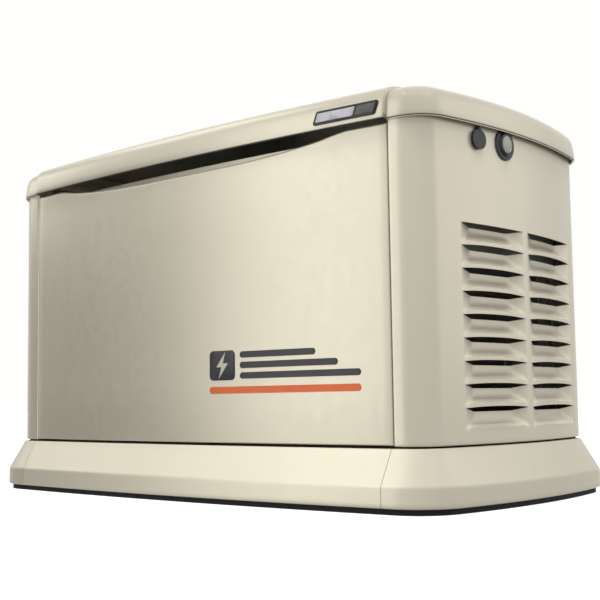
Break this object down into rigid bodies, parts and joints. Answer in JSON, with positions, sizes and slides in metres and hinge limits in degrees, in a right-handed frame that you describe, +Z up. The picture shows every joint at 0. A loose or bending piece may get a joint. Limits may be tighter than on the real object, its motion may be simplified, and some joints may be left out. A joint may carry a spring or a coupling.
{
  "type": "home standby generator",
  "caption": "Air-cooled standby generator in a bowed, louvred bisque enclosure with a hinged lid, a lift-off front panel, end locks and a flared fascia on a black base.",
  "frame": {"origin": "centre of the underside of the base, on the ground", "axes": "+X along the front to the right, -Y out of the front, +Z up"},
  "size_m": [1.256, 0.69, 0.7361],
  "materials": {
    "panel_paint": "bisque powder coat, satin",
    "fascia_plastic": "moulded, satin",
    "base_composite": "moulded, matt",
    "badge_plastic": "two-tone, gloss",
    "zinc_steel": "zinc plated",
    "black_trim": "moulded, fine texture",
    "lens": "domed, clear",
    "frame_paint": "black paint",
    "mount_rubber": "matt",
    "red_cable": "satin",
    "cast_aluminium": "as cast",
    "flywheel_iron": "machined rim",
    "shaft_steel": "ground",
    "rotor_copper": "varnished windings",
    "stator_steel": "varnished laminations",
    "duct_plastic": "moulded",
    "filter_paint": "gloss",
    "cap_plastic": "moulded",
    "exhaust_steel": "aluminised, heat tinted",
    "battery_case": "moulded",
    "control_paint": "grey powder coat",
    "controller_case": "moulded",
    "button_blue": "moulded",
    "button_red": "moulded",
    "button_green": "moulded"
  },
  "bodies": {
    "enclosure": {"end_panel_left": "panel_paint", "end_panel_right": "panel_paint", "rear_panel": "panel_paint", "fascia_front": "fascia_plastic", "fascia_rear": "fascia_plastic", "fascia_left": "fascia_plastic", "fascia_right": "fascia_plastic", "base_pad": "base_composite", "case_screws": "zinc_steel", "hinge_leaves_body": "zinc_steel", "hinge_pins": "zinc_steel", "exhaust_partition": "zinc_steel", "lock_sleeves": "black_trim", "status_bezel": "black_trim", "status_lens": "lens", "mounting_frame": "frame_paint", "blower_housing": "frame_paint", "starter_motor": "frame_paint", "battery_tray": "frame_paint", "rubber_mounts": "mount_rubber", "fuel_hose": "mount_rubber", "battery_cable_black": "mount_rubber", "battery_cable_red": "red_cable", "crankcase": "cast_aluminium", "head_front": "cast_aluminium", "head_rear": "cast_aluminium", "rocker_cover_front": "cast_aluminium", "rocker_cover_rear": "cast_aluminium", "bearing_carrier": "cast_aluminium", "intake_mixer": "cast_aluminium", "fuel_regulator": "cast_aluminium", "fuel_inlet": "shaft_steel", "alternator_stator": "stator_steel", "air_cleaner_box": "duct_plastic", "air_cleaner_cover": "duct_plastic", "oil_filter": "filter_paint", "exhaust_pipes": "exhaust_steel", "muffler": "exhaust_steel", "battery": "battery_case", "control_box": "control_paint", "controller": "controller_case", "breaker": "controller_case"},
    "lid": {"lid_roof": "panel_paint", "lid_end_left": "panel_paint", "lid_end_right": "panel_paint", "badge": "badge_plastic", "hinge_leaves_lid": "zinc_steel"},
    "front_panel": {"front_panel": "panel_paint"},
    "crank_train": {"flywheel": "flywheel_iron", "crankshaft": "shaft_steel", "alternator_rotor": "rotor_copper"},
    "lock_right": {"lock_barrel_right": "zinc_steel"},
    "lock_left": {"lock_barrel_left": "zinc_steel"},
    "dust_right": {"dust_cover_right": "black_trim"},
    "dust_left": {"dust_cover_left": "black_trim"},
    "oil_cap": {"oil_cap": "cap_plastic"},
    "auto_button": {"auto_button": "button_blue"},
    "off_button": {"off_button": "button_red"},
    "manual_button": {"manual_button": "button_green"},
    "breaker_lever": {"breaker_lever": "controller_case"}
  },
  "joints": [
    {"name": "lid_hinge", "type": "hinge", "parent": "enclosure", "child": "lid", "pos_m": [0, 0.331, 0.664], "axis": [-1, 0, 0], "range_deg": [0, 88]},
    {"name": "front_panel_lift_off", "type": "slide", "parent": "enclosure", "child": "front_panel", "axis": [0, -1, 0], "range_m": [0, 0.25]},
    {"name": "crank", "type": "hinge", "parent": "enclosure", "child": "crank_train", "pos_m": [0, 0.01, 0.285], "axis": [1, 0, 0], "continuous": true},
    {"name": "lock_right_turn", "type": "hinge", "parent": "enclosure", "child": "lock_right", "pos_m": [0.58656, -0.138, 0.641], "axis": [-0.9925, 0.1219, 0], "range_deg": [0, 90]},
    {"name": "lock_left_turn", "type": "hinge", "parent": "enclosure", "child": "lock_left", "pos_m": [-0.58656, -0.138, 0.641], "axis": [-0.9925, -0.1219, 0], "range_deg": [0, 90]},
    {"name": "dust_right_swing", "type": "hinge", "parent": "enclosure", "child": "dust_right", "pos_m": [0.58656, -0.138, 0.66], "axis": [0.9925, -0.1219, 0], "range_deg": [-75, 75]},
    {"name": "dust_left_swing", "type": "hinge", "parent": "enclosure", "child": "dust_left", "pos_m": [-0.58656, -0.138, 0.66], "axis": [-0.9925, -0.1219, 0], "range_deg": [-75, 75]},
    {"name": "oil_cap_turn", "type": "hinge", "parent": "enclosure", "child": "oil_cap", "pos_m": [-0.101, -0.20213, 0.49713], "axis": [0, -0.7071, 0.7071], "range_deg": [0, 90]},
    {"name": "auto_press", "type": "slide", "parent": "enclosure", "child": "auto_button", "axis": [0, 0.6097, -0.7926], "range_m": [0, 0.0012], "stiffness_N_per_m": 400},
    {"name": "off_press", "type": "slide", "parent": "enclosure", "child": "off_button", "axis": [0, 0.6097, -0.7926], "range_m": [0, 0.0012], "stiffness_N_per_m": 400},
    {"name": "manual_press", "type": "slide", "parent": "enclosure", "child": "manual_button", "axis": [0, 0.6097, -0.7926], "range_m": [0, 0.0012], "stiffness_N_per_m": 400},
    {"name": "breaker_throw", "type": "hinge", "parent": "enclosure", "child": "breaker_lever", "pos_m": [0.336, -0.14024, 0.60982], "axis": [-1, 0, 0], "range_deg": [0, 40]}
  ]
}
